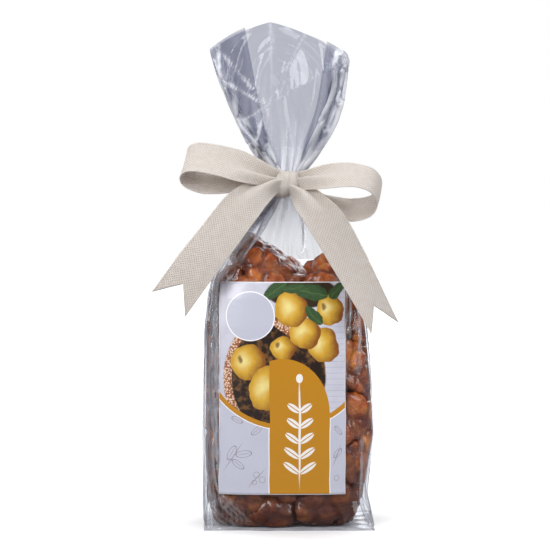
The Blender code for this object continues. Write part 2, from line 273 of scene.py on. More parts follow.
def quince_material():
    material = new_material("candied_quince")
    n = Nodes(material.node_tree)
    place = n.coords()
    patch = n.noise(place, 90.0, 4.0, 0.6)
    cell = n.voronoi(place, 160.0, "SMOOTH_F1")
    grain = n.noise(place, 900.0, 3.0, 0.6)
    colour = n.ramp(patch, ((0.32, (0.210, 0.030, 0.002)), (0.50, (0.54, 0.115, 0.009)),
                            (0.70, (0.90, 0.33, 0.035))))
    # Painted shade: darker in the hollows between the knobs, where the chunk stands least proud.
    colour = n.mix(n.times(n.step(n.attribute("proud"), 0.62, 0.10), 0.85), colour,
                   (0.130, 0.013, 0.001, 1.0))
    colour = n.mix(n.times(n.step(cell, 0.35, 0.75), 0.45), colour, (0.62, 0.21, 0.05, 1.0))
    # Painted shade: darker towards the bottom of the pile, from 6 cm down to the floor.
    depth = n.times(n.step(n.split(place)[2], 0.060, 0.0), 0.75)
    colour = n.mix(depth, colour, (0.075, 0.012, 0.004, 1.0))
    pits = n.noise(place, 320.0, 2.0, 0.5)
    height = n.math("ADD", n.times(cell, 0.5), n.times(grain, 0.4))
    height = n.math("ADD", height, n.times(pits, 0.9))
    normal = n.bump(height, 0.8, 0.0016)
    shader = n.shader(Base_Color=colour, Roughness=n.math("MULTIPLY_ADD", grain, 0.25, 0.06),
                      Normal=normal)
    node = shader.node
    node.inputs["Subsurface Weight"].default_value = 0.55
    node.inputs["Subsurface Radius"].default_value = (1.0, 0.32, 0.08)
    node.inputs["Subsurface Scale"].default_value = 0.0035
    node.inputs["Coat Weight"].default_value = 0.7
    node.inputs["Coat Roughness"].default_value = 0.06
    node.inputs["IOR"].default_value = 1.48
    n.output(shader)
    return material


def fold_noise(point):
    """Soft knobs with creases between them, from -1 to 1, at the scale of a chunk."""
    distances, _ = noise.voronoi(point * 105.0)
    knob = 1.0 - 2.0 * min(1.0, distances[0] * 1.15)
    crease = min(1.0, (distances[1] - distances[0]) * 3.0)
    small, _ = noise.voronoi(point * 260.0)
    return (0.65 * knob + 0.45 * (crease - 1.0) + 0.35 * noise.noise(point * 60.0)
            + 0.28 * (0.6 - min(1.0, small[0] * 1.2)))


def chunk(node_name, material):
    """One chunk of candied quince: the CAD lump made fine, then folded and grained."""
    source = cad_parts[node_name]
    mesh = source.data.copy()
    name = node_name.replace("candied_quince", "quince_chunk")
    mesh.name = name
    mesh.materials.clear()
    obj = bpy.data.objects.new(name, mesh)
    bpy.context.scene.collection.objects.link(obj)
    bm = bmesh.new()
    bm.from_mesh(mesh)
    bmesh.ops.remove_doubles(bm, verts=bm.verts, dist=0.00002)
    bm.to_mesh(mesh)
    bm.free()
    remesh = obj.modifiers.new("even", "REMESH")
    remesh.mode = "VOXEL"
    remesh.voxel_size = 0.0009
    remesh.use_smooth_shade = True
    graph = bpy.context.evaluated_depsgraph_get()
    fine = bpy.data.meshes.new_from_object(obj.evaluated_get(graph))
    obj.modifiers.clear()
    obj.data = fine
    fine.name = name
    count = len(fine.vertices)
    at = np.empty(count * 3)
    fine.vertices.foreach_get("co", at)
    at = at.reshape(-1, 3)
    out = np.empty(count * 3)
    fine.vertices.foreach_get("normal", out)
    out = out.reshape(-1, 3)
    push = np.empty(count)
    for i, (x, y, z) in enumerate(at):
        point = Vector((x, y, z))
        push[i] = CHUNK_FOLD * fold_noise(point) + CHUNK_GRAIN * noise.noise(point * 420.0)
    at += out * (push + CHUNK_SWELL)[:, None]
    middle = at.mean(axis=0)
    at = middle + (at - middle) * CHUNK_STRETCH
    at = keep_inside(at)
    fine.vertices.foreach_set("co", at.ravel())
    # How proud each point stands, which the material turns into painted shade in the hollows.
    proud = fine.attributes.new("proud", "FLOAT", "POINT")
    proud.data.foreach_set("value", smoothstep(0.5 + push / (2.4 * CHUNK_FOLD)).astype(np.float32))
    fine.update()
    fine.shade_smooth()
    fine.materials.clear()
    fine.materials.append(material)
    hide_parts(node_name)
    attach(obj, BODY)
    return obj


def outline_tables():
    """The CAD bag's side outline: heights, and its lowest and highest x and y at each."""
    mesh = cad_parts["film_bag"].data
    at = np.array([v.co for v in mesh.vertices])
    edges = np.array([tuple(e.vertices) for e in mesh.edges])
    start, end = at[edges[:, 0]], at[edges[:, 1]]
    heights, rows = np.arange(0.002, 0.160, 0.004), []
    for height in heights:
        crosses = (start[:, 2] - height) * (end[:, 2] - height) < 0
        a, b = start[crosses], end[crosses]
        x, y, _ = (a + (b - a) * ((height - a[:, 2]) / (b[:, 2] - a[:, 2]))[:, None]).T
        rows.append((x.min(), x.max(), y.min(), y.max()))
    return heights, np.array(rows)


def roundness(at):
    """How far out each point is in the CAD bag's rounded outline: 1 on it, less inside."""
    x_low, x_high, y_low, y_high = (np.interp(at[:, 2], OUTLINE_HEIGHTS, OUTLINE[:, k]) for k in range(4))
    middle = np.column_stack([(x_low + x_high) / 2, (y_low + y_high) / 2])
    half = np.column_stack([(x_high - x_low) / 2, (y_high - y_low) / 2])
    away = (at[:, :2] - middle) / half
    return middle, (np.abs(away) ** CORNER_POWER).sum(axis=1) ** (1 / CORNER_POWER)


def keep_inside(at):
    """The points moved in so that they stay a little inside the film."""
    middle, out = roundness(at)
    scale = np.where(out > QUINCE_REACH, QUINCE_REACH / np.maximum(out, 1e-6), 1.0)
    at[:, :2] = middle + (at[:, :2] - middle) * scale[:, None]
    at[:, 2] = np.maximum(at[:, 2], 0.0008)
    return at


OUTLINE_HEIGHTS, OUTLINE = outline_tables()


def candied_quince():
    material = quince_material()
    return [chunk(name, material) for name in QUINCE_NODES]


# ---------------------------------------------------------------- solving the film


def fold_places(along, x_of_folds):
    """Interpolates what is given at the film's folds, along its way round."""
    half_panel, half_gusset = PANEL_WIDTH / 2, GUSSET_WIDTH / 2
    folds = np.cumsum([0, half_panel, half_gusset, half_gusset, PANEL_WIDTH, half_gusset, half_gusset,
                       half_panel])
    return np.interp(along, folds, x_of_folds)


def cut_heights(columns, rows):
    """The height of each point on the flat film, whose top edge is cut askew."""
    half_panel, inner = PANEL_WIDTH / 2, (PANEL_WIDTH - GUSSET_WIDTH) / 2
    along = np.arange(columns) / columns * FILM_ROUND
    x = fold_places(along, [0, half_panel, inner, half_panel, -half_panel, -inner, -half_panel, 0])
    z = np.linspace(0.0, FILM_LENGTH, rows + 1)[:, None]
    above = z - SHOULDER_TOP
    return z - np.interp(x, RIM_X, RIM_DROP)[None, :] * smoothstep(above / (FILM_LENGTH - SHOULDER_TOP))


def start_shape(columns, rows):
    """The film before it is tied: a tube that is open below and folded flat above."""
    half_panel, half_gusset = PANEL_WIDTH / 2, GUSSET_WIDTH / 2
    along = np.arange(columns) / columns * FILM_ROUND
    points = np.zeros((rows + 1, columns, 3))
    points[:, :, 2] = cut_heights(columns, rows)
    for r, z in enumerate(np.linspace(0.0, FILM_LENGTH, rows + 1)):
        flat = smoothstep((z - 0.105) / 0.080)
        d = half_gusset * (1 - flat) + 0.0045 * flat
        inner = half_panel - math.sqrt(max(0.0, half_gusset**2 - d**2))
        points[r, :, 0] = fold_places(along, [0, half_panel, inner, half_panel, -half_panel, -inner,
                                              -half_panel, 0]) + FILM_CENTRE * (1 - flat)
        points[r, :, 1] = fold_places(along, [-d, -d, 0, d, d, 0, -d, -d])
    return points


def batches(columns, rows):
    """Pairs of points that keep their distance, in batches whose pairs share no point."""
    number = np.arange((rows + 1) * columns).reshape(rows + 1, columns)
    height = cut_heights(columns, rows)
    beside, beside2 = np.roll(number, -1, axis=1), np.roll(number, -2, axis=1)
    height_beside = np.roll(height, -1, axis=1)
    du = FILM_ROUND / columns
    found = []
    for p in (0, 1):
        lower, upper = slice(p, rows, 2), slice(p + 1, None, 2)
        found.append((number[:, p::2], beside[:, p::2], du, 1.0, 0.35))
        found.append((number[lower], number[upper], height[upper] - height[lower], 1.0, 1.0))
        found.append((number[lower], beside[upper], np.hypot(du, height_beside[upper] - height[lower]),
                      0.5, 0.15))
        found.append((beside[lower], number[upper], np.hypot(du, height[upper] - height_beside[lower]),
                      0.5, 0.15))
    for p in (0, 1):
        chosen = [c for c in range(columns) if (c // 2) % 2 == p]
        found.append((number[:, chosen], beside2[:, chosen], 2 * du, 0.0, BEND))
        chosen = np.array([r for r in range(rows - 1) if (r // 2) % 2 == p])
        found.append((number[chosen], number[chosen + 2], height[chosen + 2] - height[chosen], 0.0, BEND))
    return [(a.ravel(), b.ravel(), np.broadcast_to(rest, a.shape).ravel(), pull, push)
            for a, b, rest, pull, push in found]


def keep_distances(points, pairs):
    for a, b, rest, pull, push in pairs:
        away = points[b] - points[a]
        length = np.sqrt(np.einsum("ij,ij->i", away, away)) + 1e-9
        error = (length - rest) / length
        move = away * (0.5 * error * np.where(error > 0, pull, push))[:, None]
        points[a] += move
        points[b] -= move


def label_depth_table():
    """How far forward the CAD label's back is: y at each x and z of a grid."""
    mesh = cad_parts["front_label"].data
    tree = BVHTree.FromPolygons([v.co.copy() for v in mesh.vertices],
                                [tuple(p.vertices) for p in mesh.polygons])
    xs = np.linspace(LABEL_LOW.x + 0.0003, LABEL_HIGH.x - 0.0003, 40)
    zs = np.linspace(LABEL_LOW.z + 0.0003, LABEL_HIGH.z - 0.0003, 60)
    table = np.zeros((len(xs), len(zs)))
    for i, x in enumerate(xs):
        for j, z in enumerate(zs):
            hit = tree.ray_cast(Vector((x, -0.1, z)), Vector((0, 1, 0)))
            table[i, j] = hit[0].y if hit[0] else np.nan
    for j in range(len(zs)):
        good = ~np.isnan(table[:, j])
        table[:, j] = np.interp(xs, xs[good], table[good, j])
    return xs, zs, table


LABEL_XS, LABEL_ZS, LABEL_Y = label_depth_table()


def label_y(x, z):
    """The y of the CAD label's face at x and z, which may be arrays."""
    i = np.clip((x - LABEL_XS[0]) / (LABEL_XS[1] - LABEL_XS[0]), 0, len(LABEL_XS) - 1.001)
    j = np.clip((z - LABEL_ZS[0]) / (LABEL_ZS[1] - LABEL_ZS[0]), 0, len(LABEL_ZS) - 1.001)
    i0, j0 = np.floor(i).astype(int), np.floor(j).astype(int)
    a, b = i - i0, j - j0
    low = LABEL_Y[i0, j0] * (1 - a) + LABEL_Y[i0 + 1, j0] * a
    high = LABEL_Y[i0, j0 + 1] * (1 - a) + LABEL_Y[i0 + 1, j0 + 1] * a
    return low * (1 - b) + high * b


def tie(points, radius):
    """Pulls what is at the tie's height into a hole of that radius."""
    near = np.abs(points[:, 2] - TIE_HEIGHT) < TIE_HALF_HEIGHT
    away = np.hypot(points[:, 0], points[:, 1]) + 1e-9
    scale = np.where(near & (away > radius), radius / away, 1.0)
    points[:, 0] *= scale
    points[:, 1] *= scale


def hug_contents(points):
    """Keeps the film round the contents, just outside them, and the open top within its sides."""
    low = np.nonzero(points[:, 2] < SHOULDER_TOP + 0.004)[0]
    at = points[low]
    middle, out = roundness(at)
    most = FILM_REACH + 0.030 + 0.10 * smoothstep((at[:, 2] - 0.105) / 0.04)
    most += 0.14 * smoothstep((0.018 - at[:, 2]) / 0.018)
    least = FILM_REACH - 0.35 * smoothstep((at[:, 2] - 0.130) / 0.025)
    scale = np.clip(out, least, most) / np.maximum(out, 1e-6)
    points[low, :2] = middle + (at[:, :2] - middle) * scale[:, None]
    points[:, 2] = np.maximum(points[:, 2], 0.0)
    high = points[:, 2] > FLARE_HEIGHTS[0]
    z = points[high, 2]
    points[high, 0] = np.clip(points[high, 0], np.interp(z, FLARE_HEIGHTS, FLARE_LEFT),
                              np.interp(z, FLARE_HEIGHTS, FLARE_RIGHT))


def under_label(points):
    """Keeps the film just behind the label flat against it."""
    x, z = points[:, 0], points[:, 2]
    inside = (x > LABEL_XS[0]) & (x < LABEL_XS[-1]) & (z > LABEL_ZS[0]) & (z < LABEL_ZS[-1])
    inside &= points[:, 1] < -0.012
    points[inside, 1] = label_y(x[inside], z[inside]) + 0.0007


def part_panels(points, columns, rows):
    """Keeps the front and back of the open top apart, and lets it fan no deeper than it is."""
    grid = points.reshape(rows + 1, columns, 3)
    quarter = columns * PANEL_WIDTH / 2 / FILM_ROUND
    column = np.arange(columns)
    front = (column <= quarter) | (column >= columns - quarter)
    gusset = columns * GUSSET_WIDTH / FILM_ROUND
    back = (column >= quarter + gusset) & (column <= columns - quarter - gusset)
    above = np.clip((grid[:, :, 2] - TIE_HEIGHT - 0.006) / 0.03, 0, 1)
    gap = 0.0015 * above
    up = above > 0
    y = grid[:, :, 1]
    y[:, front] = np.where(up[:, front], np.minimum(y[:, front], -gap[:, front]), y[:, front])
    y[:, back] = np.where(up[:, back], np.maximum(y[:, back], gap[:, back]), y[:, back])
    limit = np.where(up, 0.0070 + 0.002 * above, 1.0)
    np.clip(y, -limit, limit, out=y)


def refine(points, columns, rows):
    """The same film with twice the columns and rows."""
    grid = points.reshape(rows + 1, columns, 3)
    wide = np.zeros((rows + 1, columns * 2, 3))
    wide[:, 0::2] = grid
    ahead, behind, ahead2 = np.roll(grid, -1, 1), np.roll(grid, 1, 1), np.roll(grid, -2, 1)
    wide[:, 1::2] = 0.5625 * (grid + ahead) - 0.0625 * (behind + ahead2)
    tall = np.zeros((rows * 2 + 1, columns * 2, 3))
    tall[0::2] = wide
    tall[1::2] = 0.5 * (wide[:-1] + wide[1:])
    return tall.reshape(-1, 3)


def solve_film():
    columns, rows = FIRST_COLUMNS, FIRST_ROWS
    points = start_shape(columns, rows).reshape(-1, 3)
    random = np.random.default_rng(3)
    rough = random.normal(size=(rows + 1, columns, 3))
    for _ in range(3):
        rough = 0.5 * rough + 0.25 * (np.roll(rough, 1, 1) + np.roll(rough, -1, 1))
        rough[1:-1] = 0.5 * rough[1:-1] + 0.25 * (rough[2:] + rough[:-2])
    points += rough.reshape(-1, 3) * (0.0008 + 0.0016 * smoothstep((points[:, 2:3] - 0.10) / 0.03))
    base = points[:columns].copy()
    base[:, 2] = 0.0
    base[:, 0] = FILM_CENTRE + (base[:, 0] - FILM_CENTRE) * BASE_HALF_WIDTH / (PANEL_WIDTH / 2)
    base[:, 1] *= BASE_HALF_DEPTH / (GUSSET_WIDTH / 2)
    steps = FULL_STEPS
    for level, count in enumerate(steps):
        pairs = batches(columns, rows)
        for step in range(count):
            share = smoothstep(step / (count * 0.75)) if level == 0 else 1.0
            radius = 0.043 * (1 - share) + TIE_RADIUS * share
            for _ in range(2):
                keep_distances(points, pairs)
            tie(points, radius)
            if step % 2 == 0 or step > count - 4:
                part_panels(points, columns, rows)
                hug_contents(points)
                under_label(points)
            points[:columns] = base
        if level + 1 < len(steps):
            points = refine(points, columns, rows)
            columns, rows = columns * 2, rows * 2
            base = points[:columns].copy()
            base[:, 2] = 0.0
    crumple(points)
    return points, columns, rows


def crumple(points):
    """Breaks the open top into flat facets with creases between them; all its layers together."""
    random = np.random.default_rng(12)
    low, high = (-0.044, 0.166), (0.038, 0.252)
    spots = random.uniform(low, high, size=(CRUMPLE_SPOTS, 2))
    corners = [(x, z) for z in (low[1], high[1]) for x in (low[0], low[0] / 3, high[0] / 2, high[0])]
    spots = np.vstack([spots, corners])
    depth = random.uniform(-1, 1, size=len(spots)) * CRUMPLE_DEPTH
    depth *= smoothstep((spots[:, 1] - TIE_HEIGHT) / 0.03)
    found = delaunay_2d_cdt([Vector(spot) for spot in spots], [], [], 0, 1e-5)
    corner_places = np.array([tuple(v) for v in found[0]])
    corner_depths = np.array([depth[old[0]] if old else 0.0 for old in found[3]])
    above = np.nonzero(points[:, 2] > low[1] + 0.001)[0]
    spot = points[above][:, [0, 2]]
    moved = np.zeros(len(above))
    for triangle in found[2]:
        a, b, c = corner_places[list(triangle)]
        area = (b[0] - a[0]) * (c[1] - a[1]) - (c[0] - a[0]) * (b[1] - a[1])
        to = spot - a
        share_b = (to[:, 0] * (c[1] - a[1]) - (c[0] - a[0]) * to[:, 1]) / area
        share_c = ((b[0] - a[0]) * to[:, 1] - to[:, 0] * (b[1] - a[1])) / area
        within = (share_b >= 0) & (share_c >= 0) & (share_b + share_c <= 1)
        shares = np.column_stack([1 - share_b - share_c, share_b, share_c])
        moved = np.where(within, shares @ corner_depths[list(triangle)], moved)
    points[above, 1] += moved


def film_material():
    material = new_material("clear_film")
    n = Nodes(material.node_tree)
    facing = n.add("ShaderNodeLayerWeight").outputs["Facing"]
    mirror = n.math("MULTIPLY_ADD", n.math("POWER", facing, 4.0), 0.60, 0.022)
    # Painted shade: above the tie the film's see-through tint is made greyer than round the quince.
    open_top = n.step(n.split(n.coords())[2], 0.130, 0.175)
    clear = n.add("ShaderNodeBsdfTransparent")
    n.link(n.mix(open_top, (0.90, 0.91, 0.93, 1.0), (0.70, 0.71, 0.76, 1.0)), clear.inputs["Color"])
    gloss = n.add("ShaderNodeBsdfGlossy")
    gloss.inputs["Roughness"].default_value = 0.06
    gloss.inputs["Color"].default_value = (1, 1, 1, 1)
    film = n.mix_shaders(mirror, clear.outputs[0], gloss.outputs[0])
    # Painted highlight: a white shade mixed in where the film is folded sharply, stronger on the open
    # top.
    white = n.shader(Base_Color=(0.93, 0.94, 0.98, 1.0), Roughness=0.35)
    strength = n.math("MULTIPLY_ADD", open_top, 0.42, 0.16)
    n.output(n.mix_shaders(n.times(n.attribute("fold"), strength), film, white))
    return material


def fold_strength(points, columns, rows):
    """How sharply the film is folded at each point, 0 to 1."""
    grid = points.reshape(rows + 1, columns, 3)
    across = np.roll(grid, -1, 1) - grid
    across /= np.linalg.norm(across, axis=2)[:, :, None] + 1e-9
    turn = 1 - np.einsum("ijk,ijk->ij", across, np.roll(across, 1, 1))
    along = np.diff(grid, axis=0)
    along /= np.linalg.norm(along, axis=2)[:, :, None] + 1e-9
    turn2 = np.zeros_like(turn)
    turn2[1:-1] = 1 - np.einsum("ijk,ijk->ij", along[1:], along[:-1])
    return np.clip((turn + turn2 - 0.03) / 0.30, 0.0, 1.0)


def base_rings(edge):
    """The flat base of the bag, as rings of points from its middle out to the edge."""
    middle = edge.mean(axis=0)
    rings = []
    for share in np.linspace(0.03, 0.97, BASE_RINGS):
        ring = middle + (edge - middle) * share
        ring[:, 2] = 0.0004 + 0.0003 * np.sin(ring[:, 0] * 420 + 2.0) * np.sin(ring[:, 1] * 530)
        rings.append(ring)
    return np.array(rings).reshape(-1, 3)


def film_bag():
    points, columns, rows = solve_film()
    points = np.vstack([base_rings(points[:columns]), points])
    rows += BASE_RINGS
    fold = fold_strength(points, columns, rows)
    obj = new_mesh("film_bag_clear", points, grid_faces(rows + 1, columns, True))
    # The fold strength drives the painted white highlights on the film's creases.
    layer = obj.data.attributes.new("fold", "FLOAT", "POINT")
    layer.data.foreach_set("value", fold.ravel().astype(np.float32))
    obj.data.materials.append(film_material())
    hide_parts("film_bag")
    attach(obj, BODY)
    return obj


# ---------------------------------------------------------------- the ribbon

RIBBON_WIDTH = 0.020
RIBBON_THICKNESS = 0.0004
THROUGH_LIGHT = 0.22
COLLAR_RADIUS = 0.008
TAIL_NOTCH = 0.012
KNOT_CENTRE = Vector((-0.0005, -0.0125, 0.1665))

# The ribbon's course, as in the CAD: a point, the direction of its width, how much lies flat.
LOOP_LEFT = (
    ((-0.0020, -0.0125, 0.1680), (0.10, 0.60, 0.75), 0.28),
    ((-0.0110, -0.0150, 0.1710), (0.12, 0.62, 0.75), 0.55),
    ((-0.0240, -0.0170, 0.1755), (0.14, 0.66, 0.72), 0.95),
    ((-0.0360, -0.0172, 0.1785), (0.15, 0.68, 0.71), 1.00),
    ((-0.0455, -0.0150, 0.1795), (0.16, 0.69, 0.70), 1.00),
    ((-0.0500, -0.0108, 0.1768), (0.16, 0.69, 0.70), 1.00),
    ((-0.0480, -0.0072, 0.1722), (0.14, 0.68, 0.71), 1.00),
    ((-0.0390, -0.0062, 0.1690), (0.12, 0.67, 0.72), 1.00),
    ((-0.0260, -0.0080, 0.1680), (0.10, 0.64, 0.74), 0.85),
    ((-0.0130, -0.0112, 0.1680), (0.08, 0.60, 0.76), 0.45),
    ((-0.0030, -0.0125, 0.1662), (0.05, 0.55, 0.80), 0.28),
)
LOOP_RIGHT = (
    ((0.0010, -0.0125, 0.1675), (0.05, 0.70, 0.65), 0.28),
    ((0.0100, -0.0150, 0.1688), (0.08, 0.76, 0.62), 0.55),
    ((0.0210, -0.0175, 0.1705), (0.11, 0.80, 0.58), 0.92),
    ((0.0320, -0.0180, 0.1708), (0.13, 0.82, 0.56), 1.00),
    ((0.0410, -0.0152, 0.1682), (0.15, 0.82, 0.55), 1.00),
    ((0.0450, -0.0100, 0.1620), (0.16, 0.82, 0.55), 1.00),
    ((0.0415, -0.0062, 0.1562), (0.14, 0.82, 0.55), 1.00),
    ((0.0320, -0.0055, 0.1540), (0.12, 0.82, 0.56), 1.00),
    ((0.0210, -0.0078, 0.1565), (0.10, 0.80, 0.60), 0.85),
    ((0.0110, -0.0112, 0.1610), (0.06, 0.74, 0.66), 0.48),
    ((0.0020, -0.0125, 0.1655), (0.03, 0.65, 0.75), 0.28),
)
TAIL_LEFT = (
    ((-0.0010, -0.0135, 0.1670), (0.35, -0.40, -0.85), 0.30),
    ((-0.0075, -0.0185, 0.1665), (0.50, -0.50, -0.70), 0.50),
    ((-0.0150, -0.0225, 0.1625), (0.66, -0.50, -0.56), 0.82),
    ((-0.0215, -0.0245, 0.1560), (0.78, -0.38, -0.50), 0.98),
    ((-0.0320, -0.0265, 0.1420), (0.82, -0.26, -0.50), 1.00),
    ((-0.0440, -0.0285, 0.1265), (0.81, -0.12, -0.56), 1.00),
    ((-0.0566, -0.0300, 0.1090), (0.80, 0.00, -0.60), 1.00),
)
TAIL_RIGHT = (
    ((0.0005, -0.0135, 0.1655), (0.60, 0.10, 0.78), 0.30),
    ((0.0065, -0.0185, 0.1630), (0.82, 0.18, 0.54), 0.55),
    ((0.0120, -0.0225, 0.1575), (0.90, 0.28, 0.34), 0.82),
    ((0.0180, -0.0245, 0.1500), (0.90, 0.32, 0.28), 0.98),
    ((0.0296, -0.0255, 0.1297), (0.82, 0.48, 0.30), 1.00),
    ((0.0400, -0.0262, 0.1105), (0.72, 0.62, 0.26), 1.00),
    ((0.0468, -0.0262, 0.0976), (0.69, 0.69, 0.22), 1.00),
)
STRIP_STEPS = 14
STRIP_COLUMNS = 32


def catmull_rom(rows, count):
    """The rows of numbers read from a smooth curve through them, with count steps between two."""
    rows = np.array(rows, float)
    padded = np.vstack([2 * rows[0] - rows[1], rows, 2 * rows[-1] - rows[-2]])
    found = []
    for i in range(len(rows) - 1):
        a, b, c, d = padded[i : i + 4]
        for t in np.arange(count) / count:
            found.append(0.5 * (2 * b + (c - a) * t + (2 * a - 5 * b + 4 * c - d) * t**2
                                + (3 * b - a - 3 * c + d) * t**3))
    found.append(rows[-1])
    return np.array(found)


def strip(course, folds=1.5, phase=0.0, notch=0.0):
    """(points, places on the cloth) of a stretch of ribbon, pleated where it doesn't lie flat."""
    path = catmull_rom([(*centre, *direction, flat) for centre, direction, flat in course], STRIP_STEPS)
    centres, widths, flats = path[:, :3], path[:, 3:6], np.clip(path[:, 6], 0.2, 1.0)
    widths /= np.linalg.norm(widths, axis=1)[:, None]
    tangents = np.gradient(centres, axis=0)
    tangents /= np.linalg.norm(tangents, axis=1)[:, None]
    normals = np.cross(tangents, widths)
    normals /= np.linalg.norm(normals, axis=1)[:, None]
    gone = np.concatenate([[0.0], np.cumsum(np.linalg.norm(np.diff(centres, axis=0), axis=1))])
    share = np.linspace(-1.0, 1.0, STRIP_COLUMNS + 1)
    half = RIBBON_WIDTH / 2
    points, places = [], []
    for centre, width, normal, flat, far in zip(centres, widths, normals, flats, gone):
        depth = half * math.sqrt(1 - flat**2) / (math.pi * folds) * 1.2
        wave = np.sin(math.pi * folds * share + phase)
        cup = 0.035 * half * (1 - share**2) * flat
        away = share[:, None] * (half * flat) * width + (depth * wave + cup)[:, None] * normal
        points.append(centre + away)
        places.append(np.column_stack([(share + 1) * half, np.full(len(share), far)]))
    points, places = np.array(points), np.array(places)
    if notch:
        cut = notch * (1 - np.abs(share))
        for r in range(len(points)):
            back = cut * smoothstep(1 - (gone[-1] - gone[r]) / 0.03)
            points[r] -= back[:, None] * tangents[r]
            places[r][:, 1] -= back
    return points, places


def collar():
    """The turn of ribbon round the neck of the bag, gathered into lengthwise pleats."""
    rows, columns = 64, 16
    points, places = [], []
    for angle in np.linspace(0, 2 * math.pi, rows + 1):
        share = np.linspace(-1, 1, columns + 1)
        radius = 0.0079 + 0.0004 * np.cos(share * 8.0 + 0.8 * math.sin(angle)) - 0.0006 * share**2
        points.append(np.column_stack([radius * math.sin(angle), radius * math.cos(angle),
                                       TIE_HEIGHT + share * 0.0042]))
        places.append(np.column_stack([(share + 1) * RIBBON_WIDTH / 2,
                                       np.full(columns + 1, angle * COLLAR_RADIUS)]))
    return np.array(points), np.array(places)


def knot():
    """The band of the knot, wrapped over the roots of the loops and drawn in at its sides."""
    rows, columns = 44, 30
    points, places = [], []
    for around in np.radians(np.linspace(-150, 150, rows + 1)):
        share = np.linspace(-1, 1, columns + 1)
        bulge = np.sqrt(np.clip(1 - 0.80 * share**4, 0, 1))
        ridge = 0.00055 * np.exp(-(((share + 0.28 + 0.25 * math.sin(around)) / 0.16) ** 2))
        ridge -= 0.00050 * np.exp(-(((share - 0.30 + 0.15 * math.sin(around)) / 0.10) ** 2))
        depth = (0.0056 * bulge + ridge) * math.cos(around)
        height = (0.0062 * bulge + ridge) * math.sin(around)
        slant = 0.22 * height
        side = share * (0.0063 - 0.0008 * abs(math.sin(around)))
        points.append(np.column_stack([KNOT_CENTRE.x + side + slant, KNOT_CENTRE.y - depth,
                                       KNOT_CENTRE.z + height]))
        places.append(np.column_stack([(share + 1) * 0.0075 + 0.003 + 0.002 * math.sin(around),
                                       np.full(columns + 1, around * 0.0062)]))
    return np.array(points), np.array(places)


def ribbon_material():
    material = new_material("woven_ribbon")
    n = Nodes(material.node_tree)
    place = n.add("ShaderNodeUVMap", uv_map="cloth").outputs[0]
    across, along, _ = n.split(place)
    turn = 2 * math.pi / 1.5
    warp = n.math("COSINE", n.times(across, turn))
    weft = n.math("COSINE", n.times(along, turn))
    cross = n.times(warp, weft)
    hole = n.step(cross, 0.20, 0.85)
    thread = n.times(n.math("SINE", n.times(across, turn * 4)),
                    n.math("SINE", n.times(along, turn * 4)))
    edge = n.math("ABSOLUTE", n.math("SUBTRACT", across, 10.0))
    selvedge = n.step(edge, 9.1, 9.35)
    line = n.math("SUBTRACT", n.step(edge, 8.95, 9.1), n.step(edge, 9.15, 9.35))
    hole = n.times(hole, n.math("SUBTRACT", 1.0, selvedge))
    fuzz = n.noise(place, 3.0, 3.0, 0.6)
    slub = n.noise(place, 0.35, 2.0, 0.5)
    colour = n.mix(n.step(slub, 0.3, 0.7), (0.80, 0.735, 0.675, 1), (0.86, 0.81, 0.76, 1))
    # Painted shade: the holes of the weave are coloured darker.
    colour = n.mix(n.times(hole, 0.75), colour, (0.36, 0.30, 0.26, 1))
    colour = n.mix(n.times(line, 0.45), colour, (0.50, 0.43, 0.38, 1))
    colour = n.mix(n.times(fuzz, 0.12), colour, (0.62, 0.55, 0.50, 1))
    height = n.math("SUBTRACT", n.times(thread, 0.25), hole)
    height = n.math("ADD", height, n.times(selvedge, 0.6))
    normal = n.bump(height, 0.7, 0.0003)
    cloth = n.shader(Base_Color=colour, Roughness=n.math("MULTIPLY_ADD", fuzz, 0.15, 0.72), Normal=normal)
    cloth.node.inputs["Sheen Weight"].default_value = 0.25
    cloth.node.inputs["Sheen Roughness"].default_value = 0.4
    through = n.add("ShaderNodeBsdfTranslucent")
    through.inputs["Color"].default_value = (0.80, 0.66, 0.54, 1)
    n.output(n.mix_shaders(THROUGH_LIGHT, cloth, through.outputs[0]))
    return material


def ribbon():
    """The one length of ribbon: knot, turn round the neck, two loops and two tails."""
    parts = [
        strip(LOOP_LEFT, 1.5, 0.4),
        strip(LOOP_RIGHT, 1.5, 2.6),
        strip(TAIL_LEFT, 1.2, 1.0, TAIL_NOTCH),
        strip(TAIL_RIGHT, 1.2, 2.2, TAIL_NOTCH),
        collar(),
        knot(),
    ]
    points, faces, places = [], [], []
    for grid, cloth in parts:
        rows, columns, _ = grid.shape
        faces += [tuple(len(points) + i for i in face) for face in grid_faces(rows, columns, False)]
        points += list(grid.reshape(-1, 3))
        places += list(cloth.reshape(-1, 2))
    obj = new_mesh("ribbon_bow", points, faces)
    set_places(obj, "cloth", places)
    obj.data.materials.append(ribbon_material())
    cloth = obj.modifiers.new("thickness", "SOLIDIFY")
    cloth.thickness = RIBBON_THICKNESS
    cloth.offset = 0.0
    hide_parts("ribbon")
    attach(obj, BODY)
    return obj


# ---------------------------------------------------------------- the label

LABEL_WIDTH = 0.061
LABEL_TALL = LABEL_HIGH.z - LABEL_LOW.z
LABEL_ROWS, LABEL_COLUMNS = 84, 56
PAPER_THICKNESS = 0.00015
EDGE_LIFT = 0.00035
EDGE_REACH = 0.0025
RIPPLE = 0.00012
MUSTARD = (0.545, 0.235, 0.004)
WHITE_EDGE = (0.90, 0.90, 0.95)

